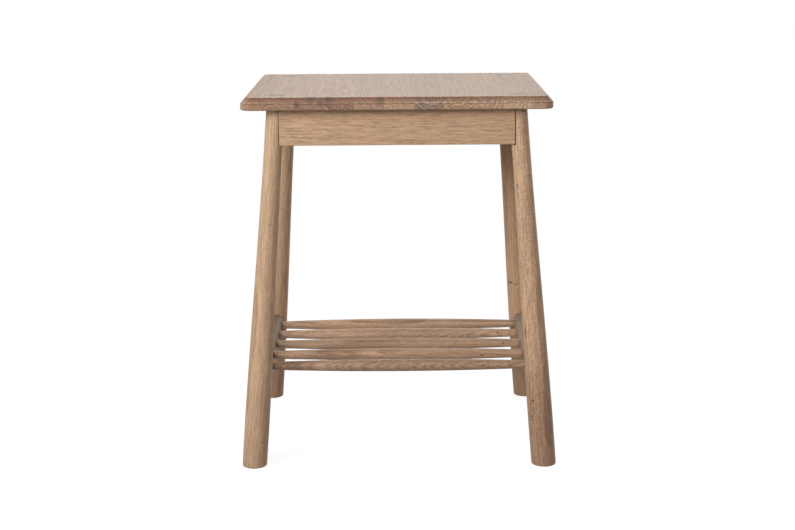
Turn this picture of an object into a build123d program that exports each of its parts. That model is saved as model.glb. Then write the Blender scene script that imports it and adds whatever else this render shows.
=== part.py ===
from build123d import *
import os

# Side table with one drawer and a shelf of turned spindles, in solid oak. Millimetres, +Z up.
# The origin is on the floor, midway between the feet. The drawer opens towards -Y.

# ---------------------------------------------------------------- driving dimensions
table_height = 615.0

# Top: an edge-glued panel, its staves running front to back.
top_length = 500.0
top_depth = 400.0
top_thickness = 20.0
top_corner_radius = 19.0
top_bevel = 9.5              # bevel round the upper edge, at 45 degrees
top_under_radius = 2.5       # rounding of the lower edge
quirk_width = 0.8            # fine line cut below the bevel
quirk_depth = 0.6
stave_count = 11
first_stave_width = 40.0     # the outer staves are trimmed when the panel is cut to size
last_stave_width = 32.5

# Legs: turned, splayed both ways, fullest just above the floor.
leg_inset_x = 56.0           # from the end of the top to the leg's axis, at the upper face
leg_inset_y = 44.0           # from the front or back edge of the top to it
leg_splay_x = 48.0           # the axis is this much further out at the floor
leg_splay_y = 36.0
leg_top_diameter = 30.4
leg_middle_diameter = 35.8
leg_belly_diameter = 41.2
leg_foot_diameter = 40.6
leg_middle_height = 290.0
leg_belly_height = 60.0
foot_edge_radius = 2.0
leg_tenon_diameter = 28.5    # goes right through the top
wedge_thickness = 3.2        # across the upper end of the wedge
wedge_point = 1.2            # across its lower end
wedge_length = 15.0

# Aprons and the rail over the drawer.
apron_height = 58.0
apron_thickness = 16.0
apron_tenon_thickness = 9.0
apron_tenon_shoulder = 7.0   # the tenon is this much shorter than the apron above and below
tenon_from_axis = 5.0        # the apron's tenons stop this far from the leg's axis
rail_thickness = 12.0
rail_depth = 30.0
rail_leg_gap = 2.0           # the rail lies this far behind the front legs
rail_tenon_thickness = 7.0
rail_tenon_length = 8.0

# Shelf: two turned stretchers, front to back, with turned spindles between them.
shelf_height = 155.0
stretcher_middle_diameter = 27.0
stretcher_end_diameter = 24.6
stretcher_tenon_diameter = 18.0
stretcher_tenon_from_axis = 1.0
stretcher_shoulder_gap = 0.6  # the shoulders stop this far from the legs
spindle_count = 5
spindle_from_leg = 49.7      # from the outer spindles to the legs' axes
spindle_middle_diameter = 21.0
spindle_end_diameter = 12.4
spindle_tenon_diameter = 9.0
spindle_tenon_length = 12.0

# Drawer: the front lies in notches cut in the front legs.
drawer_front_height = 58.5
drawer_front_thickness = 17.0
drawer_front_inset = 7.3     # its ends stop this far inside the leg's axis
drawer_front_proud = 12.1    # its face lies this far ahead of the leg's axis
drawer_top_gap = 1.5
drawer_left_gap = 0.4        # from the ends of the front to the notches
drawer_right_gap = 1.0
drawer_under_left_gap = 0.6  # from its lower edge to the notches
drawer_under_right_gap = 1.2
drawer_close_gap = 0.3       # left behind the front when the drawer is shut
drawer_rear_gap = 4.8        # left between the shut drawer and the back apron
drawer_side_height = 42.0
drawer_side_thickness = 12.0
drawer_side_lift = 3.0       # the sides start this far above the lower edge of the front
drawer_leg_gap = 2.7         # between the drawer's sides and the legs
side_housing_depth = 6.0     # the sides are let into the front
back_housing_depth = 5.0     # the back is let into the sides
drawer_back_thickness = 12.0
drawer_bottom_thickness = 5.0
drawer_bottom_lift = 6.0     # the bottom lies this far above the lower edge of the sides
bottom_groove_depth = 5.0
finger_cove_radius = 7.0
finger_cove_length = 120.0

# Runners, screwed to the side aprons, work in grooves along the drawer's sides.
runner_height = 11.4
runner_lift = 22.3           # above the lower edge of the drawer's sides
runner_gap = 0.3             # above and below the runner
runner_side_gap = 0.5
runner_groove_depth = 6.5
runner_end_gap = 3.0         # from the runner's front end to the end of the groove
runner_front_setback = 14.0  # behind the drawer's front
runner_rear_setback = 6.0    # ahead of the drawer's rear end

# A turn button on the drawer's back meets the rail when the drawer is right out.
stop_width = 14.0
stop_thickness = 8.0
stop_height = 32.0
stop_rise = 12.0             # above the drawer's back
stop_gap = 0.5               # left between the button and the rail at full travel

# Buttons that hold the top down on the aprons.
button_width = 28.0
button_length = 24.0
button_thickness = 12.0
button_tongue_length = 6.0
button_tongue_thickness = 5.5
button_from_front_leg = 114.0  # along the side aprons, to the legs' axes
button_from_back_leg = 74.0
button_from_side_leg = 103.0   # along the back apron

# Wood screws, countersunk.
screw_diameter = 3.8
screw_head_diameter = 7.4
screw_slot_width = 1.0
screw_slot_depth = 0.9
screw_tip_length = 4.0
runner_screw_length = 28.0
runner_screw_inset = 30.0    # from the ends of the runner
button_screw_length = 25.0
stop_screw_length = 17.0
bottom_screw_length = 18.0
bottom_screw_inset = 57.0    # from the drawer's sides

fit = 0.1                    # glued joints and screw holes, each side
arris = 1.0                  # rounding of sawn edges

# ---------------------------------------------------------------- worked out from them
top_underside = table_height - top_thickness
apron_bottom = top_underside - apron_height
apron_middle = top_underside - apron_height / 2

leg_top_x = top_length / 2 - leg_inset_x
leg_top_y = top_depth / 2 - leg_inset_y
leg_foot_x = leg_top_x + leg_splay_x
leg_foot_y = leg_top_y + leg_splay_y


def leg_axis(height):
    """Distances of the leg's axis from the middle of the table, at a height above the floor."""
    share = height / table_height
    across = leg_foot_x + (leg_top_x - leg_foot_x) * share
    along = leg_foot_y + (leg_top_y - leg_foot_y) * share
    return across, along


side_apron_x, back_apron_y = leg_axis(apron_middle)
side_apron_inside = side_apron_x - apron_thickness / 2
back_apron_inside = back_apron_y - apron_thickness / 2
tenon_limit_x = leg_axis(top_underside)[0] - tenon_from_axis
tenon_limit_y = leg_axis(top_underside)[1] - tenon_from_axis
apron_tenon_bottom = apron_bottom + apron_tenon_shoulder
apron_tenon_height = apron_height - 2 * apron_tenon_shoulder

rail_front_y = -(leg_axis(top_underside)[1] - leg_top_diameter / 2 - rail_leg_gap)
rail_back_y = rail_front_y + rail_depth
rail_bottom = top_underside - rail_thickness

front_top = top_underside - drawer_top_gap
front_bottom = front_top - drawer_front_height
front_half_length = side_apron_x - drawer_front_inset
front_face_y = -(back_apron_y + drawer_front_proud)
front_back_y = front_face_y + drawer_front_thickness
side_bottom = front_bottom + drawer_side_lift
side_top = side_bottom + drawer_side_height
drawer_half_width = leg_axis(side_top)[0] - leg_top_diameter / 2 - drawer_leg_gap
drawer_inside = drawer_half_width - drawer_side_thickness
drawer_rear_y = back_apron_inside - drawer_rear_gap
bottom_underside = side_bottom + drawer_bottom_lift
bottom_upperside = bottom_underside + drawer_bottom_thickness
back_front_y = drawer_rear_y - drawer_back_thickness

runner_inside = drawer_half_width - runner_groove_depth + runner_side_gap
runner_bottom = side_bottom + runner_lift
runner_middle = runner_bottom + runner_height / 2
runner_front_y = front_back_y + runner_front_setback
runner_rear_y = drawer_rear_y - runner_rear_setback

stretcher_x, stretcher_end_y = leg_axis(shelf_height)
spindle_pitch = 2 * (stretcher_end_y - spindle_from_leg) / (spindle_count - 1)

stave_width = (top_length - first_stave_width - last_stave_width) / (stave_count - 2)
stave_joints = [first_stave_width + number * stave_width for number in range(stave_count - 1)]
stave_edges = [joint - top_length / 2 for joint in [0, *stave_joints, top_length]]

sides = {"left": -1, "right": 1}
ends = {"front": -1, "back": 1}
drawer_end_gaps = {"left": drawer_left_gap, "right": drawer_right_gap}
drawer_under_gaps = {"left": drawer_under_left_gap, "right": drawer_under_right_gap}

os.makedirs("parts", exist_ok=True)


def save(piece, name):
    """Label a finished piece and write it to its own file."""
    piece.part.label = name
    export_step(piece.part, f"parts/{name}.step")


def block(x_from, x_to, y_from, y_to, z_from, z_to, mode=Mode.ADD):
    """A box between two corners, in the part being built."""
    middle = ((x_from + x_to) / 2, (y_from + y_to) / 2, (z_from + z_to) / 2)
    with Locations(middle):
        Box(abs(x_to - x_from), abs(y_to - y_from), abs(z_to - z_from), mode=mode)


def bar(start, direction, diameter, length, mode=Mode.ADD):
    """A round bar from a point along a direction, in the part being built."""
    with Locations(Plane(origin=start, z_dir=direction)):
        Cylinder(diameter / 2, length, align=(Align.CENTER, Align.CENTER, Align.MIN), mode=mode)


# ---------------------------------------------------------------- wood screws
def wood_screw(length, clearance=0.0):
    """A countersunk screw along -Z, its head flush with the origin; clearance makes its hole."""
    head = screw_head_diameter / 2 + clearance
    shank = screw_diameter / 2 + clearance
    head_depth = head - shank
    with BuildPart() as screw:
        with BuildSketch(Plane.XZ):
            with BuildLine():
                Polyline(
                    (0, 0),
                    (head, 0),
                    (shank, -head_depth),
                    (shank, -length + screw_tip_length - clearance),
                    (0, -length - clearance),
                    close=True,
                )
            make_face()
        revolve(axis=Axis.Z)
        if clearance == 0:
            with Locations((0, 0, -screw_slot_depth / 2)):
                Box(screw_head_diameter, screw_slot_width, screw_slot_depth, mode=Mode.SUBTRACT)
    return screw.part


def place(solid, spots, mode=Mode.ADD):
    """Put a copy of a solid at each spot, in the part being built."""
    with Locations(*spots):
        add(solid, mode=mode)


# Each spot turns the screw's -Z to the way it is driven.
runner_screw_ys = [
    runner_front_y + runner_screw_inset,
    (runner_front_y + runner_rear_y) / 2,
    runner_rear_y - runner_screw_inset,
]
runner_screw_spots = {
    side: [Location((sign * runner_inside, y, runner_middle), (0, -sign * 90, 0)) for y in runner_screw_ys]
    for side, sign in sides.items()
}
button_inset = button_length / 2
side_button_ys = [button_from_front_leg - back_apron_y, back_apron_y - button_from_back_leg]
back_button_x = side_apron_x - button_from_side_leg
button_spots = [(sign * (side_apron_inside - button_inset), y) for sign in sides.values() for y in side_button_ys]
button_spots += [(sign * back_button_x, back_apron_inside - button_inset) for sign in sides.values()]
button_underside = top_underside - button_thickness
button_screw_spots = [Location((x, y, button_underside), (180, 0, 0)) for x, y in button_spots]
bottom_screw_reach = drawer_inside - bottom_screw_inset
bottom_screw_spots = [
    Location((x, (back_front_y + drawer_rear_y) / 2, bottom_underside), (180, 0, 0))
    for x in (-bottom_screw_reach, 0, bottom_screw_reach)
]
stop_screw_height = (bottom_upperside + side_top) / 2 + stop_rise / 4
stop_screw_spots = [Location((0, back_front_y - stop_thickness, stop_screw_height), (90, 0, 0))]

screw_groups = {
    "runner_screws": (runner_screw_length, runner_screw_spots["left"] + runner_screw_spots["right"]),
    "top_button_screws": (button_screw_length, button_screw_spots),
    "drawer_bottom_screws": (bottom_screw_length, bottom_screw_spots),
    "drawer_stop_screw": (stop_screw_length, stop_screw_spots),
}
for name, (length, spots) in screw_groups.items():
    screw = wood_screw(length)
    with BuildPart() as screws:
        place(screw, spots)
    save(screws, name)

button_screw_hole = wood_screw(button_screw_length, fit)
runner_screw_hole = wood_screw(runner_screw_length, fit)
bottom_screw_hole = wood_screw(bottom_screw_length, fit)
stop_screw_hole = wood_screw(stop_screw_length, fit)


# ---------------------------------------------------------------- legs, without their joints
def leg_frame(side_x, side_y):
    """The point of the leg's axis on the floor, and the axis's direction."""
    foot = Vector(side_x * leg_foot_x, side_y * leg_foot_y, 0)
    head = Vector(side_x * leg_top_x, side_y * leg_top_y, table_height)
    return foot, (head - foot).normalized()


def leg_blank(side_x, side_y, grow=0.0):
    """The turned leg up to the underside of the top; grow makes it fatter, for scribing to it."""
    foot, direction = leg_frame(side_x, side_y)
    radial = Vector(-direction.Y, direction.X, 0).normalized()
    slant = 1 / direction.Z
    spare = leg_foot_diameter / 4
    length = table_height * slant + spare
    with BuildPart() as blank:
        with BuildSketch(Plane(origin=foot, x_dir=radial, z_dir=radial.cross(direction))):
            with BuildLine():
                outline = Spline(
                    (leg_foot_diameter / 2 + grow, -spare),
                    (leg_belly_diameter / 2 + grow, leg_belly_height * slant),
                    (leg_middle_diameter / 2 + grow, leg_middle_height * slant),
                    (leg_top_diameter / 2 + grow, length),
                )
                Polyline(outline @ 1, (0, length), (0, -spare), outline @ 0)
            make_face()
        revolve(axis=Axis(foot, direction))
        split(bisect_by=Plane.XY, keep=Keep.TOP)
        split(bisect_by=Plane.XY.offset(top_underside), keep=Keep.BOTTOM)
    return blank.part


def leg_tenon(side_x, side_y, grow=0.0, overlap=0.0):
    """The round tenon from the leg's shoulder to the upper face of the top."""
    foot, direction = leg_frame(side_x, side_y)
    start = foot + direction * ((top_underside - leg_tenon_diameter) / direction.Z)
    with BuildPart() as tenon:
        bar(start, direction, leg_tenon_diameter + 2 * grow, 3 * leg_tenon_diameter)
        split(bisect_by=Plane.XY.offset(top_underside - overlap), keep=Keep.TOP)
        split(bisect_by=Plane.XY.offset(table_height), keep=Keep.BOTTOM)
    return tenon.part


corners = [(side_x, side_y) for side_x in sides.values() for side_y in ends.values()]
leg_rims = {corner: leg_blank(*corner, grow=fit) for corner in corners}

# ---------------------------------------------------------------- top
with BuildPart() as top_panel:
    with BuildSketch(Plane.XY.offset(top_underside)):
        RectangleRounded(top_length, top_depth, top_corner_radius)
    extrude(amount=top_thickness)
    upper_edges = top_panel.faces().sort_by(Axis.Z)[-1].edges()
    lower_edges = top_panel.faces().sort_by(Axis.Z)[0].edges()
    chamfer(upper_edges, length=top_bevel)
    fillet(lower_edges, radius=top_under_radius)
    with BuildSketch(Plane.XY.offset(table_height - top_bevel - quirk_width)):
        RectangleRounded(top_length, top_depth, top_corner_radius)
        offset(amount=-quirk_depth, mode=Mode.SUBTRACT)
    extrude(amount=quirk_width, mode=Mode.SUBTRACT)
    for corner in corners:
        add(leg_tenon(*corner, grow=fit, overlap=1), mode=Mode.SUBTRACT)
    place(button_screw_hole, button_screw_spots, mode=Mode.SUBTRACT)

for number in range(stave_count):
    with BuildPart() as stave:
        block(stave_edges[number], stave_edges[number + 1], -top_depth, top_depth, 0, 2 * table_height)
        add(top_panel.part, mode=Mode.INTERSECT)
    save(stave, f"top_stave_{number + 1:02d}")

# ---------------------------------------------------------------- wedges in the ends of the legs
with BuildPart() as leg_wedges:
    for side_x, side_y in corners:
        wedge_x, wedge_y = side_x * leg_top_x, side_y * leg_top_y
        with BuildSketch(Plane.YZ.offset(wedge_x - leg_tenon_diameter)):
            with BuildLine():
                Polyline(
                    (wedge_y - wedge_thickness / 2, table_height),
                    (wedge_y + wedge_thickness / 2, table_height),
                    (wedge_y + wedge_point / 2, table_height - wedge_length),
                    (wedge_y - wedge_point / 2, table_height - wedge_length),
                    close=True,
                )
            make_face()
        extrude(amount=2 * leg_tenon_diameter)
    add([leg_tenon(*corner) for corner in corners], mode=Mode.INTERSECT)
save(leg_wedges, "leg_wedges")


# ---------------------------------------------------------------- tenons of the aprons and stretchers
def side_apron_tenon(side_x, side_y, grow=0.0):
    """Tenon of a side apron in a leg, as a box to add to the apron or take from the leg."""
    half = apron_tenon_thickness / 2 + grow
    block(
        side_x * side_apron_x - half,
        side_x * side_apron_x + half,
        side_y * (tenon_limit_y - leg_top_diameter),
        side_y * (tenon_limit_y + grow),
        apron_tenon_bottom - grow,
        apron_tenon_bottom + apron_tenon_height + grow,
        mode=Mode.SUBTRACT if grow else Mode.ADD,
    )


def back_apron_tenon(side_x, grow=0.0):
    """Tenon of the back apron in a back leg."""
    half = apron_tenon_thickness / 2 + grow
    block(
        side_x * (tenon_limit_x - leg_top_diameter),
        side_x * (tenon_limit_x + grow),
        back_apron_y - half,
        back_apron_y + half,
        apron_tenon_bottom - grow,
        apron_tenon_bottom + apron_tenon_height + grow,
        mode=Mode.SUBTRACT if grow else Mode.ADD,
    )


def stretcher_tenon(side_x, side_y, grow=0.0):
    """Tenon of a stretcher in a leg, from the stretcher's middle outwards."""
    bar(
        (side_x * stretcher_x, 0, shelf_height),
        (0, side_y, 0),
        stretcher_tenon_diameter + 2 * grow,
        stretcher_end_y - stretcher_tenon_from_axis + grow,
        mode=Mode.SUBTRACT if grow else Mode.ADD,
    )


# ---------------------------------------------------------------- legs
for end, side_y in ends.items():
    for side, side_x in sides.items():
        with BuildPart() as leg:
            add(leg_blank(side_x, side_y))
            fillet(leg.faces().sort_by(Axis.Z)[0].edges(), radius=foot_edge_radius)
            add(leg_tenon(side_x, side_y))
            add(leg_wedges.part, mode=Mode.SUBTRACT)
            side_apron_tenon(side_x, side_y, grow=fit)
            stretcher_tenon(side_x, side_y, grow=fit)
            if end == "back":
                back_apron_tenon(side_x, grow=fit)
            else:
                block(
                    0,
                    side_x * (front_half_length + drawer_end_gaps[side]),
                    front_face_y - drawer_front_thickness,
                    front_back_y + drawer_close_gap,
                    front_bottom - drawer_under_gaps[side],
                    top_underside,
                    mode=Mode.SUBTRACT,
                )
        save(leg, f"leg_{end}_{side}")

# ---------------------------------------------------------------- aprons, rail and runners
button_slot_bottom = button_underside - fit
button_slot_top = button_underside + button_tongue_thickness + fit
button_slot_depth = button_tongue_length + 1

for side, side_x in sides.items():
    with BuildPart() as side_apron:
        block(
            side_x * side_apron_inside,
            side_x * (side_apron_inside + apron_thickness),
            -leg_axis(apron_middle)[1],
            leg_axis(apron_middle)[1],
            apron_bottom,
            top_underside,
        )
        fillet(side_apron.edges().filter_by(Axis.Y).group_by(Axis.Z)[0], radius=arris)
        for side_y in ends.values():
            add(leg_rims[side_x, side_y], mode=Mode.SUBTRACT)
            side_apron_tenon(side_x, side_y)
        for button_y in side_button_ys:
            block(
                side_x * side_apron_inside,
                side_x * (side_apron_inside + button_slot_depth),
                button_y - button_width / 2 - fit,
                button_y + button_width / 2 + fit,
                button_slot_bottom,
                button_slot_top,
                mode=Mode.SUBTRACT,
            )
        block(
            side_x * side_apron_inside,
            side_x * (side_apron_inside + rail_tenon_length + fit),
            rail_front_y - fit,
            rail_back_y + fit,
            rail_bottom + (rail_thickness - rail_tenon_thickness) / 2 - fit,
            rail_bottom + (rail_thickness + rail_tenon_thickness) / 2 + fit,
            mode=Mode.SUBTRACT,
        )
        place(runner_screw_hole, runner_screw_spots[side], mode=Mode.SUBTRACT)
    save(side_apron, f"side_apron_{side}")

    with BuildPart() as runner:
        block(
            side_x * runner_inside,
            side_x * side_apron_inside,
            runner_front_y,
            runner_rear_y,
            runner_bottom,
            runner_bottom + runner_height,
        )
        place(runner_screw_hole, runner_screw_spots[side], mode=Mode.SUBTRACT)
    save(runner, f"drawer_runner_{side}")

with BuildPart() as back_apron:
    block(
        -leg_axis(apron_middle)[0],
        leg_axis(apron_middle)[0],
        back_apron_inside,
        back_apron_inside + apron_thickness,
        apron_bottom,
        top_underside,
    )
    fillet(back_apron.edges().filter_by(Axis.X).group_by(Axis.Z)[0], radius=arris)
    for side_x in sides.values():
        add(leg_rims[side_x, 1], mode=Mode.SUBTRACT)
        back_apron_tenon(side_x)
        block(
            side_x * back_button_x - button_width / 2 - fit,
            side_x * back_button_x + button_width / 2 + fit,
            back_apron_inside,
            back_apron_inside + button_slot_depth,
            button_slot_bottom,
            button_slot_top,
            mode=Mode.SUBTRACT,
        )
save(back_apron, "back_apron")

with BuildPart() as front_top_rail:
    block(-side_apron_inside, side_apron_inside, rail_front_y, rail_back_y, rail_bottom, top_underside)
    block(
        -side_apron_inside - rail_tenon_length,
        side_apron_inside + rail_tenon_length,
        rail_front_y,
        rail_back_y,
        rail_bottom + (rail_thickness - rail_tenon_thickness) / 2,
        rail_bottom + (rail_thickness + rail_tenon_thickness) / 2,
    )
save(front_top_rail, "front_top_rail")

# ---------------------------------------------------------------- buttons that hold the top
with BuildPart() as top_button:
    block(-button_inset, button_inset, -button_width / 2, button_width / 2, 0, button_thickness)
    fillet(top_button.edges().filter_by(Axis.Y).sort_by(Axis.X)[:2].sort_by(Axis.Z)[0], radius=arris)
    block(
        button_inset,
        button_inset + button_tongue_length,
        -button_width / 2,
        button_width / 2,
        0,
        button_tongue_thickness,
    )

button_turns = [180, 180, 0, 0, 90, 90]
with BuildPart() as top_buttons:
    place(
        top_button.part,
        [Location((x, y, button_underside), (0, 0, turn)) for (x, y), turn in zip(button_spots, button_turns)],
    )
    place(button_screw_hole, button_screw_spots, mode=Mode.SUBTRACT)
save(top_buttons, "top_buttons")


# ---------------------------------------------------------------- shelf
def stretcher_blank(side_x, grow=0.0):
    """The turned stretcher from leg axis to leg axis; grow makes it fatter, for scribing to it."""
    middle = stretcher_middle_diameter / 2 + grow
    end = stretcher_end_diameter / 2 + grow
    with BuildPart() as blank:
        with BuildSketch(Plane((side_x * stretcher_x, 0, shelf_height), x_dir=(0, 0, -1), z_dir=(1, 0, 0))):
            with BuildLine():
                Spline((end, -stretcher_end_y), (middle, 0), (end, stretcher_end_y))
                Polyline((end, stretcher_end_y), (0, stretcher_end_y), (0, -stretcher_end_y), (end, -stretcher_end_y))
            make_face()
        revolve(axis=Axis((side_x * stretcher_x, 0, shelf_height), (0, 1, 0)))
    return blank.part


spindle_rows = [(number - (spindle_count - 1) / 2) * spindle_pitch for number in range(spindle_count)]
stretcher_inside = stretcher_x - stretcher_middle_diameter / 2


def spindle_tenons(y, grow=0.0):
    """The thin ends of one spindle, from one stretcher to the other."""
    reach = stretcher_inside + spindle_tenon_length + grow
    bar(
        (-reach, y, shelf_height),
        (1, 0, 0),
        spindle_tenon_diameter + 2 * grow,
        2 * reach,
        mode=Mode.SUBTRACT if grow else Mode.ADD,
    )


for side, side_x in sides.items():
    with BuildPart() as stretcher:
        add(stretcher_blank(side_x))
        for side_y in ends.values():
            add(leg_blank(side_x, side_y, grow=stretcher_shoulder_gap), mode=Mode.SUBTRACT)
            stretcher_tenon(side_x, side_y)
        for y in spindle_rows:
            spindle_tenons(y, grow=fit)
    save(stretcher, f"stretcher_{side}")

for number, y in enumerate(spindle_rows):
    with BuildPart() as spindle:
        with BuildSketch(Plane(origin=(0, y, shelf_height), z_dir=(0, 0, 1))):
            with BuildLine():
                Spline(
                    (-stretcher_x, spindle_end_diameter / 2),
                    (0, spindle_middle_diameter / 2),
                    (stretcher_x, spindle_end_diameter / 2),
                )
                Polyline(
                    (stretcher_x, spindle_end_diameter / 2),
                    (stretcher_x, 0),
                    (-stretcher_x, 0),
                    (-stretcher_x, spindle_end_diameter / 2),
                )
            make_face()
        revolve(axis=Axis((0, y, shelf_height), (1, 0, 0)))
        for side_x in sides.values():
            add(stretcher_blank(side_x, grow=fit), mode=Mode.SUBTRACT)
        spindle_tenons(y)
    save(spindle, f"shelf_spindle_{number + 1}")

# ---------------------------------------------------------------- drawer
with BuildPart() as drawer_front:
    block(-front_half_length, front_half_length, front_face_y, front_back_y, front_bottom, front_top)
    fillet(drawer_front.faces().sort_by(Axis.Y)[0].edges(), radius=arris)
    for side_x in sides.values():
        block(
            side_x * (drawer_inside - fit),
            side_x * (drawer_half_width + fit),
            front_back_y - side_housing_depth - fit,
            front_back_y,
            side_bottom - fit,
            side_top + fit,
            mode=Mode.SUBTRACT,
        )
    block(
        -drawer_inside,
        drawer_inside,
        front_back_y - bottom_groove_depth - fit,
        front_back_y,
        bottom_underside - fit,
        bottom_upperside + fit,
        mode=Mode.SUBTRACT,
    )
    bar(
        (-finger_cove_length / 2, front_back_y, front_bottom),
        (1, 0, 0),
        2 * finger_cove_radius,
        finger_cove_length,
        mode=Mode.SUBTRACT,
    )
save(drawer_front, "drawer_front")

back_reach = drawer_inside + back_housing_depth
bottom_reach = drawer_inside + bottom_groove_depth
for side, side_x in sides.items():
    with BuildPart() as drawer_side:
        block(
            side_x * drawer_inside,
            side_x * drawer_half_width,
            front_back_y - side_housing_depth,
            drawer_rear_y,
            side_bottom,
            side_top,
        )
        fillet(drawer_side.edges().filter_by(Axis.Y).group_by(Axis.Z)[-1], radius=arris)
        block(
            side_x * (drawer_half_width - runner_groove_depth),
            side_x * drawer_half_width,
            runner_front_y - runner_end_gap,
            drawer_rear_y,
            runner_bottom - runner_gap,
            runner_bottom + runner_height + runner_gap,
            mode=Mode.SUBTRACT,
        )
        block(
            side_x * drawer_inside,
            side_x * (bottom_reach + fit),
            front_back_y - side_housing_depth,
            drawer_rear_y,
            bottom_underside - fit,
            bottom_upperside + fit,
            mode=Mode.SUBTRACT,
        )
        block(
            side_x * drawer_inside,
            side_x * (back_reach + fit),
            back_front_y - fit,
            drawer_rear_y,
            bottom_upperside,
            side_top,
            mode=Mode.SUBTRACT,
        )
    save(drawer_side, f"drawer_side_{side}")

with BuildPart() as drawer_back:
    block(-back_reach, back_reach, back_front_y, drawer_rear_y, bottom_upperside + fit, side_top)
    place(bottom_screw_hole, bottom_screw_spots, mode=Mode.SUBTRACT)
    place(stop_screw_hole, stop_screw_spots, mode=Mode.SUBTRACT)
save(drawer_back, "drawer_back")

with BuildPart() as drawer_bottom:
    block(
        -bottom_reach,
        bottom_reach,
        front_back_y - bottom_groove_depth,
        drawer_rear_y,
        bottom_underside,
        bottom_upperside,
    )
    place(bottom_screw_hole, bottom_screw_spots, mode=Mode.SUBTRACT)
save(drawer_bottom, "drawer_bottom")

with BuildPart() as drawer_stop_button:
    block(
        -stop_width / 2,
        stop_width / 2,
        back_front_y - stop_thickness,
        back_front_y,
        side_top + stop_rise - stop_height,
        side_top + stop_rise,
    )
    place(stop_screw_hole, stop_screw_spots, mode=Mode.SUBTRACT)
save(drawer_stop_button, "drawer_stop_button")

drawer_travel = back_front_y - stop_thickness - rail_back_y - stop_gap
print(f"drawer travel {drawer_travel:.1f}")
print(f"drawer inside: half width {drawer_inside:.1f}, y {front_back_y:.1f} to {back_front_y:.1f},"
      f" z {bottom_upperside:.1f} to {side_top:.1f}")
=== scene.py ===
from math import cos, radians, sin

import bpy
from mathutils import Euler, Matrix, Vector


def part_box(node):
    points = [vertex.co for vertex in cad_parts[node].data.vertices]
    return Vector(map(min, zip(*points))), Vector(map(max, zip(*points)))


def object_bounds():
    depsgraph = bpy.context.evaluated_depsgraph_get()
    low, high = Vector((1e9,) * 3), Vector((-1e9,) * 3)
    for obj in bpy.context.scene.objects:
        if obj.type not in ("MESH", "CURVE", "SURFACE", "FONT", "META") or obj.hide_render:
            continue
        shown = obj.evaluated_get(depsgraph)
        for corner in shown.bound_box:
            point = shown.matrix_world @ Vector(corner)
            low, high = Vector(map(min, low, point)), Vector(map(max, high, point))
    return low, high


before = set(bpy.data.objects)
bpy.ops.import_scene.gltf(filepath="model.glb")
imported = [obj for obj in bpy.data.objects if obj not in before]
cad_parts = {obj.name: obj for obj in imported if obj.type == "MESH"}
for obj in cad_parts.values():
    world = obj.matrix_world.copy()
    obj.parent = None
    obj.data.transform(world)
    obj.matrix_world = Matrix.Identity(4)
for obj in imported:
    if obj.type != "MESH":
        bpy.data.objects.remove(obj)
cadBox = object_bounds()
print("frame loaded:", len(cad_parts), "pieces")


# sRGB hex to the linear colour that the shaders want
def linear(hexCode):
    parts = [int(hexCode[i:i + 2], 16) / 255 for i in (1, 3, 5)]
    return [p / 12.92 if p <= 0.04045 else ((p + 0.055) / 1.055) ** 2.4 for p in parts] + [1.0]


# adds one node; a value may be a plain setting, or a node or socket to link from
def addNode(owner, kind, given={}):
    tree = owner.node_tree
    node = tree.nodes.new("ShaderNode" + kind)
    for key, value in given.items():
        if key == "stops":                      # colour ramp: position and grey level
            elements = node.color_ramp.elements
            while len(elements) < len(value):
                elements.new(1.0)
            for element, (position, grey) in zip(elements, value):
                element.position, element.color = position, (grey, grey, grey, 1)
        elif isinstance(value, bpy.types.Node):
            tree.links.new(next(out for out in value.outputs if out.enabled), node.inputs[key])
        elif isinstance(value, bpy.types.NodeSocket):
            tree.links.new(value, node.inputs[key])
        elif isinstance(key, str) and hasattr(node, key):
            setattr(node, key, value)
        else:
            node.inputs[key].default_value = value
    return node


# a material or world with no nodes in it yet
def emptyNodes(owner):
    owner.use_nodes = True
    owner.node_tree.nodes.clear()
    return owner


# camera: standing back, a little above the top. place in metres, angles in radians,
# lens and sensor in millimetres
camera = {
    "place": (-0.003, -2.597, 0.8866),
    "yaw": 0.001, "pitch": 0.2228, "roll": -0.0068,
    "lens": 68.65, "sensor": 36.0, "farthest": 100.0,
}

ahead = Vector((sin(camera["yaw"]) * cos(camera["pitch"]),
                cos(camera["yaw"]) * cos(camera["pitch"]),
                -sin(camera["pitch"])))
level = Vector((cos(camera["yaw"]), -sin(camera["yaw"]), 0))
upright = level.cross(ahead)
cosRoll, sinRoll = cos(camera["roll"]), sin(camera["roll"])
axes = Matrix((cosRoll * level + sinRoll * upright, cosRoll * upright - sinRoll * level, -ahead)).transposed()
cameraData = bpy.data.cameras.new("studioCamera")
cameraData.lens, cameraData.sensor_width = camera["lens"], camera["sensor"]
cameraData.clip_end = camera["farthest"]
cameraObject = bpy.data.objects.new("studioCamera", cameraData)
cameraObject.matrix_world = Matrix.Translation(camera["place"]) @ axes.to_4x4()
bpy.context.scene.collection.objects.link(cameraObject)
bpy.context.scene.camera = cameraObject
bpy.context.scene.view_settings.view_transform = "Standard"

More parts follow.
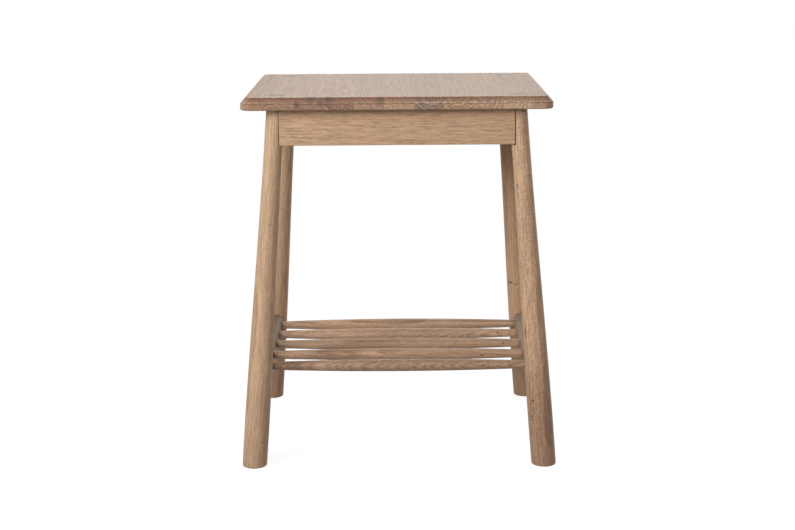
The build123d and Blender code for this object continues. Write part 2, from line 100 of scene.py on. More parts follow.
# lamps: two soft boxes, left and front, a high one behind and a weak one behind on the right,
# so that no side goes black. Places and sizes in metres
lamps = {
    "leftBox": {"place": (-1.75, -1.70, 1.35), "size": 1.0, "watts": 33.5, "colour": "#FFFEFC"},
    "frontBox": {"place": (-0.40, -2.85, 1.40), "size": 1.1, "watts": 29.5, "colour": "#FFFBF8"},
    "backBox": {"place": (0.20, 2.30, 2.70), "size": 2.0, "watts": 29, "colour": "#FFFFFF"},
    "rightBox": {"place": (1.90, 1.75, 1.10), "size": 1.2, "watts": 18, "colour": "#FFF8F2"},
}
aim = Vector((0, 0, 0.45))
for name, lamp in lamps.items():
    data = bpy.data.lights.new(name, "AREA")
    data.shape, data.size = "DISK", lamp["size"]
    data.energy, data.color = lamp["watts"], linear(lamp["colour"])[:3]
    lampObject = bpy.data.objects.new(name, data)
    lampObject.location = lamp["place"]
    lampObject.rotation_euler = (aim - lampObject.location).to_track_quat("-Z", "Y").to_euler()
    lampObject.visible_camera = False
    bpy.context.scene.collection.objects.link(lampObject)


# 1 where a surface or the sky is seen, mirrored or seen through; 0 where it only lights things
def seenDirectly(owner):
    path = addNode(owner, "LightPath")
    mirrored = addNode(owner, "Math", {"operation": "MAXIMUM", 0: path.outputs["Is Camera Ray"],
                                       1: path.outputs["Is Glossy Ray"]})
    return addNode(owner, "Math", {"operation": "MAXIMUM", 0: mirrored,
                                   1: path.outputs["Is Transmission Ray"]})


# the sky fills the shadows evenly and a little warmly, and is plain white where it is seen
ambient = {"level": 0.133, "colour": "#FFF1EA"}
sky = emptyNodes(bpy.data.worlds.new("studioSky"))
seen = seenDirectly(sky)
glow = addNode(sky, "MapRange", {"To Min": ambient["level"], "To Max": 1.0, "Value": seen})
hue = addNode(sky, "Mix", {"data_type": "RGBA", 0: seen, 6: linear(ambient["colour"]), 7: linear("#FFFFFF")})
light = addNode(sky, "Background", {"Color": hue, "Strength": glow})
addNode(sky, "OutputWorld", {"Surface": light})
bpy.context.scene.world = sky

# floor: matt white paper sweep, with a soft shadow that fades to plain white further off.
# Lengths in metres. shadowShare: how much of it is real shadow; openLevel: light that paper
# gets where nothing shades it; bounce: its colour where it only lights the table
floor = {"size": 60.0, "drop": 0.0003, "bounce": "#7C7874", "shadowShare": 0.32, "openLevel": 0.42,
         "fadeFrom": 0.40, "fadeTo": 1.3}

half = floor["size"] / 2
floorCorners = [(side * half, end * half, -floor["drop"])
                for side, end in ((-1, -1), (1, -1), (1, 1), (-1, 1))]
floorMesh = bpy.data.meshes.new("floor")
floorMesh.from_pydata(floorCorners, [], [(0, 1, 2, 3)])
floorObject = bpy.data.objects.new("floor", floorMesh)
bpy.context.scene.collection.objects.link(floorObject)
paper = emptyNodes(bpy.data.materials.new("whitePaper"))
floorPlace = addNode(paper, "TexCoord")
fromTable = addNode(paper, "VectorMath", {"operation": "LENGTH", 0: floorPlace.outputs["Object"]})
share = addNode(paper, "MapRange", {"interpolation_type": "SMOOTHSTEP", "From Min": floor["fadeFrom"],
                                    "From Max": floor["fadeTo"], "To Min": floor["shadowShare"],
                                    "To Max": 0.0, "Value": fromTable})
shaded = addNode(paper, "BsdfDiffuse", {"Color": share})
remainder = addNode(paper, "Math", {"operation": "MULTIPLY_ADD", 0: share, 1: -floor["openLevel"], 2: 1.0})
plain = addNode(paper, "Emission", {"Color": linear("#FFFFFF"), "Strength": remainder})
shown = addNode(paper, "AddShader", {0: plain, 1: shaded})
bounce = addNode(paper, "BsdfDiffuse", {"Color": linear(floor["bounce"])})
either = addNode(paper, "MixShader", {0: seenDirectly(paper), 1: bounce, 2: shown})
addNode(paper, "OutputMaterial", {"Surface": either})
floorMesh.materials.append(paper)
print("camera, lamps and floor ready")

# oak: solid wood, planed or turned, then a thin matt clear lacquer.
# The eye gets growth rings as arcs, stripes or hatching by how each board was cut, short dark
# pores along the fibre, paler rays, darker and busier end grain, and a broad soft sheen.
# Lengths in millimetres. Fibre and pores are drawn about three times their real width, so that
# they show, and limedShift puts the filled pores beside the open ones.
oak = {
    "pale": "#CFAE8E", "brown": "#9C7755",          # late and early wood of a ring
    "endPale": "#A58467", "endBrown": "#5F4534",    # the same two where the cut goes across the fibre
    "porous": "#70503A", "limed": "#E2D2BD",        # open pores, and pores with pale filler in them
    "flecked": "#DABC9D", "knotty": "#33241B",      # rays, and the heart of a knot
    "wanderLength": 230, "wanderWidth": 60, "wander": 7.0,      # of the tree's middle line
    "ring": 3.3, "ringShare": 0.40, "endRingShare": 0.85,
    "ringPace": 0.35, "ringUneven": 2.2,            # how often their width changes, and how strongly
    "ringProfile": [(0.0, 0.10), (0.10, 1.0), (0.34, 0.62), (0.62, 0.12), (1.0, 0.0)],
    "streakLength": 110, "streakWidth": 5.0, "streakDepth": 0.08, "streakHue": 0.5,
    "fibreLength": 26, "fibreWidth": 1.9, "fibreDepth": 0.22,
    "paleSwing": 0.6,                               # they lighten by this share of what they darken
    "gritSize": 2.6, "speckle": 0.07,
    "endFade": (0.45, 0.9), "endBoost": 1.8,        # how squarely a cut end faces, how much busier it is
    "poreLength": 8, "poreWidth": 1.7, "poreFade": (0.16, 0.42), "poreShift": (0, 0, 0),
    "poreShare": 0.45, "latePores": 0.25,
    "limedLength": 7.0, "limedWidth": 2.6, "limedFade": (0.12, 0.34), "limedShift": (31.7, 5.3, 8.9),
    "limedShare": 0.0,
    "rayLength": 12, "rayHeight": 22, "raysPerRadian": 46, "rayFade": (0.56, 0.70), "rayShare": 0.20,
    "knots": [],       # x, y, z, half width, half length along the fibre, darkness
    "knotReach": 3.0, "knotPush": 0.9, "knotFade": (0.5, 1.3),  # in sizes of the knot
    "joints": [],      # line of a mating round piece, its radius, how far and how much painted shade and glue darken it
    "lowShade": None,      # painted shade, darker towards the floor: height and colour at the lower end, height where it is gone
    "specks": None,    # on a moulded edge: how strong its pale specks are, partly painted highlight and partly filler in chips
    "roughness": 0.52, "roughSwing": 0.06, "relief": 0.35, "reliefDepth": 0.3, "poreSink": 0.8,
}
noiseSpan = {"From Min": 0.3, "From Max": 0.7}      # nearly all of a noise lies between these

# moulded edge of the top: painted shade on the bevel above, with a painted shadow line along the quirk,
# partly also end grain that drank more lacquer; pale specks on a line below, partly a painted highlight
# on the arris and partly pale filler in chips. The shade ramp gives how dark at each share of the way from
# low to top; cleanFace: upright part of a face's normal where the shade ends, and where it is full
mouldedEdge = {
    "low": 597.0, "top": 615.0, "paintedShadeColour": "#914A00", "cleanFace": (0.95, 0.8),
    "edgeShade": [(0.0, 0.0), (0.41, 0.0), (0.45, 0.42), (0.50, 0.42), (0.54, 0.09), (0.66, 0.27),
             (0.85, 0.55), (0.95, 0.66), (1.0, 0.48)],
    "speckHeight": 606.8, "speckReach": 1.0, "speckSize": 3.0, "speckFade": (0.48, 0.60),
}


# scale of a pattern that is drawn out along the fibre
def drawnOut(look, kind):
    across = 1000 / look[kind + "Width"]
    return 1000 / look[kind + "Length"], across, across


# how dark each place is from knots, and its distance from the pith, pushed aside round them
def knotsAndRadius(wood, look, where, bent, turn):
    across = addNode(wood, "VectorMath", {"operation": "MULTIPLY", 0: bent, 1: (0, 1, 1)})
    radius = addNode(wood, "VectorMath", {"operation": "LENGTH", 0: across})
    knotDark = None
    for x, y, z, halfWidth, halfLength, darkness in look["knots"]:
        spot = addNode(wood, "Mapping", {"vector_type": "TEXTURE", "Location": Vector((x, y, z)) / 1000,
                                         "Rotation": turn, "Vector": where.outputs["Object"],
                                         "Scale": Vector((halfLength, halfWidth, halfWidth)) / 1000})
        away = addNode(wood, "VectorMath", {"operation": "LENGTH", 0: spot})
        swirl = addNode(wood, "MapRange", {"interpolation_type": "SMOOTHERSTEP",
                                           "From Max": look["knotReach"], "To Min": 1.0, "To Max": 0.0,
                                           "Value": away})
        radius = addNode(wood, "Math", {"operation": "MULTIPLY_ADD", 0: swirl,
                                        1: look["knotPush"] * halfWidth / 1000, 2: radius})
        dark = addNode(wood, "MapRange", {"interpolation_type": "SMOOTHSTEP", "From Min": look["knotFade"][0],
                                          "From Max": look["knotFade"][1], "To Min": darkness,
                                          "To Max": 0.0, "Value": away})
        if knotDark is None:
            knotDark = dark
        else:
            knotDark = addNode(wood, "Math", {"operation": "MAXIMUM", 0: knotDark, 1: dark})
    return knotDark, radius


# growth rings of uneven width: a sharp dark start that fades outwards; 1 in the early wood
def growthRings(wood, look, radius):
    years = addNode(wood, "Math", {"operation": "DIVIDE", 0: radius, 1: look["ring"] / 1000})
    uneven = addNode(wood, "TexNoise", {"noise_dimensions": "1D", "Scale": look["ringPace"],
                                        "Detail": 0.0, "W": years})
    counted = addNode(wood, "Math", {"operation": "MULTIPLY_ADD", 0: uneven, 1: look["ringUneven"], 2: years})
    phase = addNode(wood, "Math", {"operation": "FRACT", 0: counted})
    return addNode(wood, "ValToRGB", {"Fac": phase, "stops": look["ringProfile"]})


# one short dash in each cell of a drawn-out pattern: open pores, or those with pale filler
def dashes(wood, look, kind, bent, often):
    fade = look[kind + "Fade"]
    place = addNode(wood, "VectorMath", {"operation": "MULTIPLY_ADD", 0: bent, 1: drawnOut(look, kind),
                                         2: look[kind + "Shift"]})
    cells = addNode(wood, "TexVoronoi", {"Scale": 1.0, "Vector": place})
    dash = addNode(wood, "MapRange", {"interpolation_type": "SMOOTHSTEP", "From Min": fade[0],
                                      "From Max": fade[1], "To Min": 1.0, "To Max": 0.0, "Value": cells})
    return addNode(wood, "Math", {"operation": "MULTIPLY", 0: dash, 1: often})


# rays: thin upright sheets round the pith, pale where the cut follows them
def paleRays(wood, look, bent, radius):
    parts = addNode(wood, "SeparateXYZ", {"Vector": bent})
    turned = addNode(wood, "Math", {"operation": "ARCTAN2", 0: parts.outputs["Z"], 1: parts.outputs["Y"]})
    alongIt = addNode(wood, "Math", {"operation": "MULTIPLY", 0: parts.outputs["X"],
                                     1: 1000 / look["rayLength"]})
    roundIt = addNode(wood, "Math", {"operation": "MULTIPLY", 0: turned, 1: look["raysPerRadian"]})
    outwards = addNode(wood, "Math", {"operation": "MULTIPLY", 0: radius, 1: 1000 / look["rayHeight"]})
    place = addNode(wood, "CombineXYZ", {"X": alongIt, "Y": roundIt, "Z": outwards})
    sheets = addNode(wood, "TexNoise", {"Scale": 1.0, "Detail": 1.0, "Vector": place})
    return addNode(wood, "MapRange", {"interpolation_type": "SMOOTHSTEP", "From Min": look["rayFade"][0],
                                      "From Max": look["rayFade"][1], "To Max": look["rayShare"],
                                      "Value": sheets})


# painted shade and glue darken the wood round each mating piece: a narrow line at the legs, a wider band at
# the spindle ends
def paintShadeAndGlueAtJoints(wood, look, where, tone):
    for place, way, radius, reach, shade in look["joints"]:
        beside = addNode(wood, "VectorMath", {"operation": "SUBTRACT", 0: where.outputs["Object"],
                                              1: Vector(place) / 1000})
        sideways = addNode(wood, "VectorMath", {"operation": "CROSS_PRODUCT", 0: beside,
                                                1: Vector(way).normalized()})
        gap = addNode(wood, "VectorMath", {"operation": "LENGTH", 0: sideways})
        paintedShadeAndGlue = addNode(wood, "MapRange", {"interpolation_type": "SMOOTHSTEP", "From Min": radius / 1000,
                                           "From Max": (radius + reach) / 1000, "To Min": 1 - shade,
                                           "To Max": 1.0, "Value": gap})
        tone = addNode(wood, "Math", {"operation": "MULTIPLY", 0: tone, 1: paintedShadeAndGlue})
    return tone


# the moulded edge: the colour of the painted shade that multiplies the wood, and its pale specks, partly
# painted highlight and partly filler in chips
def paintedEdgeShadeAndSpecks(wood, look, where):
    height = addNode(wood, "SeparateXYZ", {"Vector": where.outputs["Object"]}).outputs["Z"]
    up = addNode(wood, "SeparateXYZ", {"Vector": where.outputs["Normal"]}).outputs["Z"]
    upright = addNode(wood, "Math", {"operation": "ABSOLUTE", 0: up})
    side = addNode(wood, "MapRange", {"From Min": mouldedEdge["cleanFace"][0],
                                      "From Max": mouldedEdge["cleanFace"][1], "Value": upright})
    rise = addNode(wood, "MapRange", {"From Min": mouldedEdge["low"] / 1000,
                                      "From Max": mouldedEdge["top"] / 1000, "Value": height})
    edgeShade = addNode(wood, "ValToRGB", {"Fac": rise, "stops": mouldedEdge["edgeShade"]})
    edgeShadeAmount = addNode(wood, "Math", {"operation": "MULTIPLY", 0: edgeShade, 1: side})
    edgeShadeTint = addNode(wood, "Mix", {"data_type": "RGBA", 0: edgeShadeAmount, 6: linear("#FFFFFF"),
                                   7: linear(mouldedEdge["paintedShadeColour"])})
    line = addNode(wood, "Math", {"operation": "COMPARE", 0: height, 1: mouldedEdge["speckHeight"] / 1000,
                                  2: mouldedEdge["speckReach"] / 1000})
    speckNoise = addNode(wood, "TexNoise", {"Scale": 1000 / mouldedEdge["speckSize"], "Detail": 2.0,
                                        "Vector": where.outputs["Object"]})
    speckled = addNode(wood, "MapRange", {"interpolation_type": "SMOOTHSTEP",
                                         "From Min": mouldedEdge["speckFade"][0],
                                         "From Max": mouldedEdge["speckFade"][1],
                                         "To Max": look["specks"], "Value": speckNoise})
    return edgeShadeTint, addNode(wood, "Math", {"operation": "MULTIPLY", 0: line, 1: speckled})


# one piece's wood. grain: direction of the fibre; pith: a point of the tree's middle line; lean:
# degrees by which that line leaves the fibre, about the two cross axes, so that rings run out as arcs
def makeOak(name, changes):
    look = {**oak, **changes}
    wood = emptyNodes(bpy.data.materials.new(name))
    fibreWay = Vector(look["grain"]).normalized()
    lean = Euler((0, radians(look["lean"][0]), radians(look["lean"][1])))
    turn = (fibreWay.to_track_quat("X", "Z").to_matrix() @ lean.to_matrix()).to_euler()
    where = addNode(wood, "TexCoord")
    board = addNode(wood, "Mapping", {"vector_type": "TEXTURE", "Location": Vector(look["pith"]) / 1000,
                                      "Rotation": turn, "Vector": where.outputs["Object"]})

    # the tree's middle line wanders, and the rings with it
    slowPlace = addNode(wood, "VectorMath", {"operation": "MULTIPLY", 0: board, 1: drawnOut(look, "wander")})
    slow = addNode(wood, "TexNoise", {"Scale": 1.0, "Detail": 1.0, "Roughness": 0.4, "Vector": slowPlace})
    offset = addNode(wood, "VectorMath", {"operation": "SUBTRACT", 0: slow.outputs["Color"],
                                          1: (0.5, 0.5, 0.5)})
    sway = 2 * look["wander"] / 1000                # a noise swings by half to each side
    bent = addNode(wood, "VectorMath", {"operation": "MULTIPLY_ADD", 0: offset, 1: (0, sway, sway), 2: board})
    knotDark, radius = knotsAndRadius(wood, look, where, bent, turn)
    early = growthRings(wood, look, radius)

    # end grain drinks more lacquer: darker colours, stronger rings
    ahead = addNode(wood, "VectorMath", {"operation": "DOT_PRODUCT", 0: where.outputs["Normal"], 1: fibreWay})
    facing = addNode(wood, "Math", {"operation": "ABSOLUTE", 0: ahead})
    endOn = addNode(wood, "MapRange", {"interpolation_type": "SMOOTHSTEP", "From Min": look["endFade"][0],
                                       "From Max": look["endFade"][1], "Value": facing})

    # broad streaks, fine fibre and grit
    streakPlace = addNode(wood, "VectorMath", {"operation": "MULTIPLY", 0: bent, 1: drawnOut(look, "streak")})
    streak = addNode(wood, "TexNoise", {"Scale": 1.0, "Detail": 2.0, "Vector": streakPlace})
    streakTone = addNode(wood, "MapRange", {**noiseSpan, "To Min": 1 - look["streakDepth"], "Value": streak,
                                            "To Max": 1 + look["streakDepth"] * look["paleSwing"]})
    fibrePlace = addNode(wood, "VectorMath", {"operation": "MULTIPLY", 0: bent, 1: drawnOut(look, "fibre")})
    fibre = addNode(wood, "TexNoise", {"Scale": 1.0, "Detail": 3.0, "Roughness": 0.55, "Vector": fibrePlace})
    fibreSwing = addNode(wood, "MapRange", {**noiseSpan, "To Min": -look["fibreDepth"], "Value": fibre,
                                            "To Max": look["fibreDepth"] * look["paleSwing"]})
    grit = addNode(wood, "TexNoise", {"Scale": 1000 / look["gritSize"], "Detail": 1.0,
                                      "Vector": where.outputs["Object"]})
    gritSwing = addNode(wood, "MapRange", {**noiseSpan, "To Min": -look["speckle"],
                                           "To Max": look["speckle"], "Value": grit})
    swing = addNode(wood, "Math", {"operation": "ADD", 0: fibreSwing, 1: gritSwing})
    busier = addNode(wood, "MapRange", {"To Min": 1.0, "To Max": look["endBoost"], "Value": endOn})
    fineTone = addNode(wood, "Math", {"operation": "MULTIPLY_ADD", 0: swing, 1: busier, 2: 1.0})
    tone = addNode(wood, "Math", {"operation": "MULTIPLY", 0: streakTone, 1: fineTone})
    # painted shade and glue round the mating pieces
    tone = paintShadeAndGlueAtJoints(wood, look, where, tone)

    # colours, laid one over another: rings and streaks, rays, open pores
    ringShare = addNode(wood, "MapRange", {"To Min": look["ringShare"], "To Max": look["endRingShare"],
                                           "Value": endOn})
    ringPart = addNode(wood, "Math", {"operation": "MULTIPLY", 0: early, 1: ringShare})
    huePart = addNode(wood, "MapRange", {"clamp": False, "To Min": look["streakHue"] / 2,
                                         "To Max": -look["streakHue"] / 2, "Value": streak})
    browner = addNode(wood, "Math", {"operation": "ADD", "use_clamp": True, 0: ringPart, 1: huePart})
    paler = addNode(wood, "Mix", {"data_type": "RGBA", 0: endOn, 6: linear(look["pale"]),
                                  7: linear(look["endPale"])})
    darker = addNode(wood, "Mix", {"data_type": "RGBA", 0: endOn, 6: linear(look["brown"]),
                                   7: linear(look["endBrown"])})
    colour = addNode(wood, "Mix", {"data_type": "RGBA", 0: browner, 6: paler, 7: darker})
    rays = paleRays(wood, look, bent, radius)
    colour = addNode(wood, "Mix", {"data_type": "RGBA", 0: rays, 6: colour, 7: linear(look["flecked"])})
    often = addNode(wood, "MapRange", {"To Min": look["latePores"], "To Max": 1.0, "Value": early})
    pores = dashes(wood, look, "pore", bent, often)
    poreShare = addNode(wood, "Math", {"operation": "MULTIPLY", 0: pores, 1: look["poreShare"]})
    colour = addNode(wood, "Mix", {"data_type": "RGBA", 0: poreShare, 6: colour, 7: linear(look["porous"])})

    # what only some pieces have: pale filler, a moulded edge with painted shade and a painted highlight,
    # painted shade towards the floor, knots
    fillerAndGlints = None
    if look["limedShare"]:
        limed = dashes(wood, look, "limed", bent, often)
        fillerAndGlints = addNode(wood, "Math", {"operation": "MULTIPLY", 0: limed, 1: look["limedShare"]})
    # the moulded edge: painted shade on the bevel and in the quirk, and pale specks on the arris that are
    # partly a painted highlight
    if look["specks"]:
        edgeShadeTint, arrisGlintsAndChips = paintedEdgeShadeAndSpecks(wood, look, where)
        colour = addNode(wood, "VectorMath", {"operation": "MULTIPLY", 0: colour, 1: edgeShadeTint})
        if fillerAndGlints is None:
            fillerAndGlints = arrisGlintsAndChips
        else:
            fillerAndGlints = addNode(wood, "Math", {"operation": "MAXIMUM", 0: fillerAndGlints, 1: arrisGlintsAndChips})
    colour = addNode(wood, "VectorMath", {"operation": "SCALE", 0: colour, "Scale": tone})
    # painted shade: darker towards the floor
    if look["lowShade"]:
        lowest, lowShade, full = look["lowShade"]
        height = addNode(wood, "SeparateXYZ", {"Vector": where.outputs["Object"]}).outputs["Z"]
        gone = addNode(wood, "MapRange", {"interpolation_type": "SMOOTHSTEP", "From Min": lowest / 1000,
                                          "From Max": full / 1000, "Value": height})
        shadeTowardsFloor = addNode(wood, "Mix", {"data_type": "RGBA", 0: gone, 6: linear(lowShade), 7: linear("#FFFFFF")})
        colour = addNode(wood, "VectorMath", {"operation": "MULTIPLY", 0: colour, 1: shadeTowardsFloor})
    if fillerAndGlints is not None:
        colour = addNode(wood, "Mix", {"data_type": "RGBA", 0: fillerAndGlints, 6: colour, 7: linear(look["limed"])})
    if knotDark is not None:
        colour = addNode(wood, "Mix", {"data_type": "RGBA", 0: knotDark, 6: colour,
                                       7: linear(look["knotty"])})

    # sunken pores, raised fibre, and a sheen that the fibre breaks
    relief = addNode(wood, "Math", {"operation": "MULTIPLY_ADD", 0: pores, 1: -look["poreSink"], 2: fibre})
    bump = addNode(wood, "Bump", {"Strength": look["relief"], "Distance": look["reliefDepth"] / 1000,
                                  "Height": relief})
    sheen = addNode(wood, "MapRange", {**noiseSpan, "To Min": look["roughness"] + look["roughSwing"],
                                       "To Max": look["roughness"] - look["roughSwing"], "Value": fibre})
    shader = addNode(wood, "BsdfPrincipled", {"IOR": 1.5, "Base Color": colour, "Roughness": sheen,
                                              "Normal": bump})
    addNode(wood, "OutputMaterial", {"Surface": shader})
    return wood


# gives one piece its material
def dress(node, material):
    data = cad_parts[node].data
    data.materials.clear()
    data.materials.append(material)


# the top: eleven staves, each from another part of a tree, with its own pale tone. pith: from the
# middle of the stave; endPale, endBrown: its end grain; specks: strength of the pale specks on its moulded
# edge, partly painted highlight and partly filler in chips
topWood = {
    "grain": (0, 1, 0), "brown": "#8F6F55", "ring": 1.9, "ringShare": 0.36, "endRingShare": 1.0,
    "wanderLength": 280, "wanderWidth": 110, "wander": 10.0,
    "streakDepth": 0.09, "streakWidth": 4.0, "streakHue": 0.30, "fibreDepth": 0.17, "fibreWidth": 1.5,
    "poreShare": 0.35, "rayShare": 0.12, "endBoost": 3.5, "roughness": 0.57,
}
staves = [
    {"pith": (30, -60), "lean": (0.8, 0.5), "pale": "#C3AA94",
     "endPale": "#C49779", "endBrown": "#573B2F", "specks": 0.15},
    {"pith": (-10, -120), "lean": (0.5, 1.0), "pale": "#CBB19B", "ring": 2.6, "endRingShare": 0.8,
     "endPale": "#B59073", "endBrown": "#573B2F", "specks": 0.1},
    {"pith": (9, -22), "lean": (1.2, 0.6), "pale": "#D2B7A0",
     "endPale": "#B48D71", "endBrown": "#462F27", "specks": 0.15,
     "knots": [(-159, -200, 604, 6, 26, 0.50), (-121, -200, 607, 6, 30, 0.45),
               (-137, -200, 612, 8, 30, 0.35)]},
    {"pith": (-34, 44), "lean": (0.4, 2.0), "pale": "#D0B59E",
     "endPale": "#B1866C", "endBrown": "#4A3228", "specks": 0.1, "knots": [(-108, -200, 613, 9, 30, 0.35)]},
    {"pith": (-45, -60), "lean": (1.0, 0.4), "pale": "#C9AF99", "ring": 2.3, "endRingShare": 0.8,
     "endPale": "#C59F84", "endBrown": "#5E4738", "specks": 0.15, "knots": [(-26, -200, 610, 9, 26, 0.38)]},
    {"pith": (-40, -70), "lean": (1.0, 0.5), "pale": "#CAB09A", "ring": 2.3, "endRingShare": 0.7,
     "endPale": "#CEA888", "endBrown": "#78604A", "specks": 0.1},
    {"pith": (3, 16), "lean": (0.05, 0.05), "pale": "#C0A793", "ring": 3.4, "wander": 6.0,
     "endPale": "#AE9480", "endBrown": "#403028", "specks": 1.0, "limedShare": 0.5},
    {"pith": (-3, 18), "lean": (0.05, 0.05), "pale": "#C4AB95", "ring": 3.6, "wander": 6.0,
     "endPale": "#CFAC89", "endBrown": "#654B37", "specks": 0.6, "limedShare": 0.2},
    {"pith": (46, -60), "lean": (0.6, 0.5), "pale": "#C9AF99", "endRingShare": 0.6,
     "endPale": "#CDA98D", "endBrown": "#725845", "specks": 0.9, "limedShare": 0.2},
    {"pith": (-50, 70), "lean": (0.5, 0.6), "pale": "#C3AA94", "endRingShare": 0.5,
     "endPale": "#DCBC9E", "endBrown": "#83634D", "specks": 0.8},
    {"pith": (-44, -80), "lean": (0.9, 0.6), "pale": "#BDA490", "endRingShare": 0.5,
     "endPale": "#CBA589", "endBrown": "#785840", "specks": 0.3},
]
furtherAlong = 370.0      # of the tree, from one stave to the next, so that no two look alike
for number, stave in enumerate(staves):
    node = f"top_stave_{number + 1:02d}"
    low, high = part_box(node)
    middle = (low + high) / 2 * 1000
    pith = (middle.x + stave["pith"][0], furtherAlong * number, middle.z + stave["pith"][1])
    dress(node, makeOak(f"lacqueredOakStave{number + 1:02d}", {**topWood, **stave, "pith": pith}))
print("top dressed")

# legs and their wedges: turned, so the rings run out as long ovals. pith: from the axis at the foot
legFoot, legTop = (242.0, 192.0), (194.0, 156.0)      # of the axis, on the floor and at the top
legLean = (legTop[0] - legFoot[0], legTop[1] - legFoot[1])
topHeight = cadBox[1].z * 1000
tenonEnd = {"endPale": "#AA9682", "endBrown": "#88725F", "endBoost": 1.2}
# lowShade: painted shade, darker towards the floor where the lower legs get less light; on the front right
# leg partly the wood's own darker tone
legs = {
    "leg_front_left": {
        "pith": (34, 22), "lean": (0.7, 0.4), "lowShade": (80, "#F6F4F5", 240), "streakDepth": 0.06,
        "knots": [(-207, -184, 408, 1.3, 1.8, 0.7), (-225.6, -205.4, 43.7, 1.2, 2.2, 0.5)]},
    "leg_front_right": {
        "pith": (-30, 30), "lean": (0.5, 0.8), "pale": "#D6B18F", "brown": "#9C7252",
        "lowShade": (50, "#CFC8C6", 250), "limedShare": 0.35,
        "speckle": 0.18, "fibreDepth": 0.30, "poreShare": 0.55,
        "knots": [(193.9, -174.4, 467.6, 1.4, 3.0, 0.8), (209.5, -190.5, 226, 1.6, 13, 0.75),
                  (221.9, -202.3, 112.4, 2.6, 3.0, 0.8), (220, -200.6, 82.3, 1.8, 5.5, 0.7),
                  (251.6, -206.1, 38.6, 1.5, 2.2, 0.5)]},
    "leg_back_left": {"pith": (26, -38), "lean": (0.8, 0.3), "lowShade": (30, "#DCD4D4", 210)},
    "leg_back_right": {
        "pith": (-38, -24), "lean": (0.4, 0.9), "pale": "#D2AC8A", "brown": "#A0785A",
        "knots": [(211, 164, 226, 5.5, 1.8, 0.8), (219, 160.5, 222.5, 3.5, 1.2, 0.7)]},
}
for node, leg in legs.items():
    low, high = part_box(node)
    signX = 1 if low.x + high.x > 0 else -1
    signY = 1 if low.y + high.y > 0 else -1
    axis = (signX * legLean[0], signY * legLean[1], topHeight)
    pith = (signX * legFoot[0] + leg["pith"][0], signY * legFoot[1] + leg["pith"][1], 0)
    dress(node, makeOak("turnedOak_" + node, {**tenonEnd, **leg, "grain": axis, "pith": pith}))
legWedge = {"grain": (0, 0, 1), "pith": (0, 60, 0), "lean": (1, 1), "pale": "#B08A68", "brown": "#7C5A42",
            "endPale": "#7E614C", "endBrown": "#4A3427"}
dress("leg_wedges", makeOak("oakWedges", legWedge))
print("legs dressed")

# shelf: the stretchers are coloured darker and greyer than the other pieces, the left one most; the spindles
# show chevrons and pale filler.
# legJoint, stretcherJoint: radius of the round piece there, how far and how much painted shade and glue
# darken
legJoint, stretcherJoint = (20.2, 3.5, 0.5), (13.2, 9.0, 0.42)
shelfHeight = 155.0
shelfShare = shelfHeight / topHeight                  # of the way up the legs
stretcherX = legFoot[0] + legLean[0] * shelfShare
stretcherY = legFoot[1] + legLean[1] * shelfShare
legJoints = {side: [((side * stretcherX, end * stretcherY, shelfHeight),
                     (side * legLean[0], end * legLean[1], topHeight), *legJoint)
                    for end in (-1, 1)] for side in (-1, 1)}
stretcher = {"grain": (0, 1, 0), "roughness": 0.64}
spindle = {"grain": (1, 0, 0), "pale": "#C19E81", "brown": "#896647", "ringShare": 0.6, "limedShare": 0.2,
           "speckle": 0.10, "joints": [((side * stretcherX, 0, shelfHeight), (0, 1, 0), *stretcherJoint)
                                       for side in (-1, 1)]}
shelf = {
    "stretcher_left": {**stretcher, "pith": (-270, 0, 120), "lean": (0.6, 0.5),
                       "pale": "#8F7967", "brown": "#664F3F", "joints": legJoints[-1]},
    "stretcher_right": {**stretcher, "pith": (275, 0, 190), "lean": (0.5, 0.7),
                        "pale": "#A48C78", "brown": "#78604F", "joints": legJoints[1]},
    "shelf_spindle_1": {**spindle, "pith": (0, -80, 152), "lean": (0.9, 8.0),
                        "pale": "#B49276", "brown": "#745236", "ring": 2.8, "limedShare": 0.65},
    "shelf_spindle_2": {**spindle, "pith": (150, -40, 125), "lean": (1.2, 0.8),
                        "knots": [(144.1, -75.4, 154.6, 1.8, 2.2, 0.85)]},
    "shelf_spindle_3": {**spindle, "pith": (310, 22, 180), "lean": (0.8, 1.4), "pale": "#BD9D81",
                        "knots": [(186.3, -7.6, 156.1, 1.8, 2.0, 0.85)]},
    "shelf_spindle_4": {**spindle, "pith": (520, 150, 150), "lean": (1.4, 8.0), "pale": "#D0AC8F",
                        "ring": 2.2, "limedShare": 0.4, "knots": [(180.5, 59.8, 158.8, 1.5, 2.6, 0.7)]},
    "shelf_spindle_5": {**spindle, "pith": (760, 160, 128), "lean": (0.7, 1.1), "pale": "#CBA88B",
                        "knots": [(148.4, 125.2, 151.7, 1.3, 3.6, 0.6)]},
}
for node, piece in shelf.items():
    dress(node, makeOak("turnedOak_" + node, piece))
print("shelf dressed")

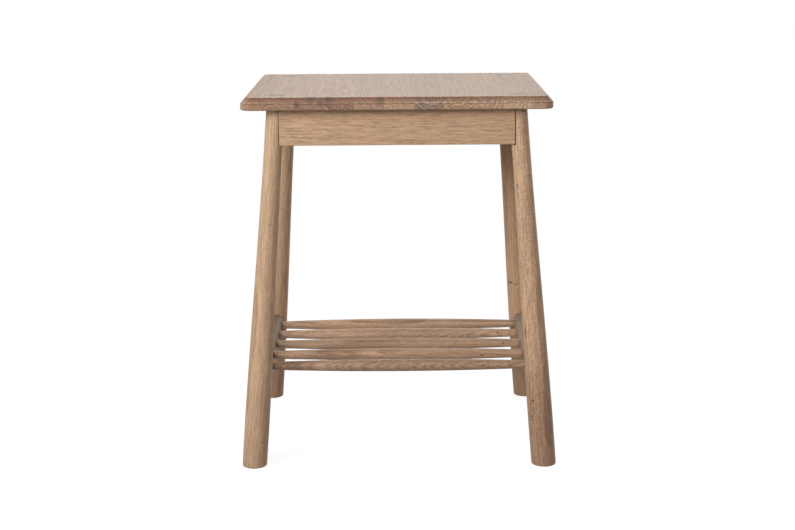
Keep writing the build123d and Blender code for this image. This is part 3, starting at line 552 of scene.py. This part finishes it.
# aprons, rail, drawer front and drawer box
boards = {
    "side_apron_left": {"grain": (0, 1, 0), "pith": (-290, 0, 520), "lean": (0.6, 0.7)},
    "side_apron_right": {"grain": (0, 1, 0), "pith": (280, 300, 600), "lean": (0.8, 0.5)},
    "back_apron": {"grain": (1, 0, 0), "pith": (0, 240, 545), "lean": (0.5, 0.6)},
    "front_top_rail": {"grain": (1, 0, 0), "pith": (300, -60, 620), "lean": (0.5, 0.6)},
    "drawer_front": {
        "grain": (1, 0, 0), "pith": (0, -105, 520), "lean": (0.8, 0.9),
        "pale": "#CDA988", "brown": "#976C4B", "ring": 1.7, "ringShare": 0.19, "wander": 2.5,
        "streakWidth": 1.7, "streakLength": 150, "streakDepth": 0.05, "streakHue": 0.3,
        "fibreLength": 34, "fibreWidth": 1.1, "fibreDepth": 0.38,
        "poreLength": 18, "poreWidth": 1.4, "poreShare": 0.75, "knots": [(176, -180, 558.5, 0.6, 14, 0.6)]},
    "drawer_side_left": {"grain": (0, 1, 0), "pith": (-240, 0, 540), "lean": (0.5, 0.5)},
    "drawer_side_right": {"grain": (0, 1, 0), "pith": (250, 200, 580), "lean": (0.4, 0.6)},
    "drawer_back": {"grain": (1, 0, 0), "pith": (0, 80, 530), "lean": (0.6, 0.6)},
    "drawer_runner_left": {"grain": (0, 1, 0), "pith": (-220, 0, 540), "lean": (0.3, 0.4)},
    "drawer_runner_right": {"grain": (0, 1, 0), "pith": (230, 0, 530), "lean": (0.4, 0.3)},
    "drawer_stop_button": {"grain": (0, 0, 1), "pith": (30, 90, 0), "lean": (0.4, 0.3)},
    "top_buttons": {"grain": (1, 0, 0), "pith": (0, 0, 540), "lean": (0.4, 0.3)},
}
for node, board in boards.items():
    dress(node, makeOak("sawnOak_" + node, board))

# drawer bottom: birch plywood, unfinished; pale and dull, with faint rings and almost no pores
plywood = {"grain": (1, 0, 0), "pith": (0, 20, 400), "lean": (0.5, 0.5),
           "pale": "#DFC3A0", "brown": "#C6A37C", "endPale": "#CFAE88", "endBrown": "#9C7A58",
           "flecked": "#E4CBAA", "ring": 6.0, "ringShare": 0.30, "fibreDepth": 0.12,
           "poreShare": 0.08, "rayShare": 0.05, "roughness": 0.72}
dress("drawer_bottom", makeOak("birchPlywood", plywood))
print("aprons and drawer dressed")

# screws: zinc-plated steel, turned; small, greyish, finely scratched. scratch in millimetres,
# drawn coarser than the real ones so that it shows
zincPlate = {"dull": "#8F9296", "bright": "#B9BCC0", "scratch": 0.55, "smooth": 0.26, "rough": 0.44,
             "nodes": ("runner_screws", "top_button_screws", "drawer_bottom_screws", "drawer_stop_screw")}
steel = emptyNodes(bpy.data.materials.new("zincPlatedSteel"))
screwPlace = addNode(steel, "TexCoord")
scratches = addNode(steel, "TexNoise", {"Scale": 1000 / zincPlate["scratch"], "Detail": 2.0,
                                        "Vector": screwPlace.outputs["Object"]})
plated = addNode(steel, "Mix", {"data_type": "RGBA", 0: scratches, 6: linear(zincPlate["dull"]),
                                7: linear(zincPlate["bright"])})
scratched = addNode(steel, "MapRange", {"To Min": zincPlate["smooth"], "To Max": zincPlate["rough"],
                                        "Value": scratches})
shine = addNode(steel, "BsdfPrincipled", {"Metallic": 1.0, "Base Color": plated, "Roughness": scratched})
addNode(steel, "OutputMaterial", {"Surface": shine})
for node in zincPlate["nodes"]:
    dress(node, steel)
print("screws dressed")
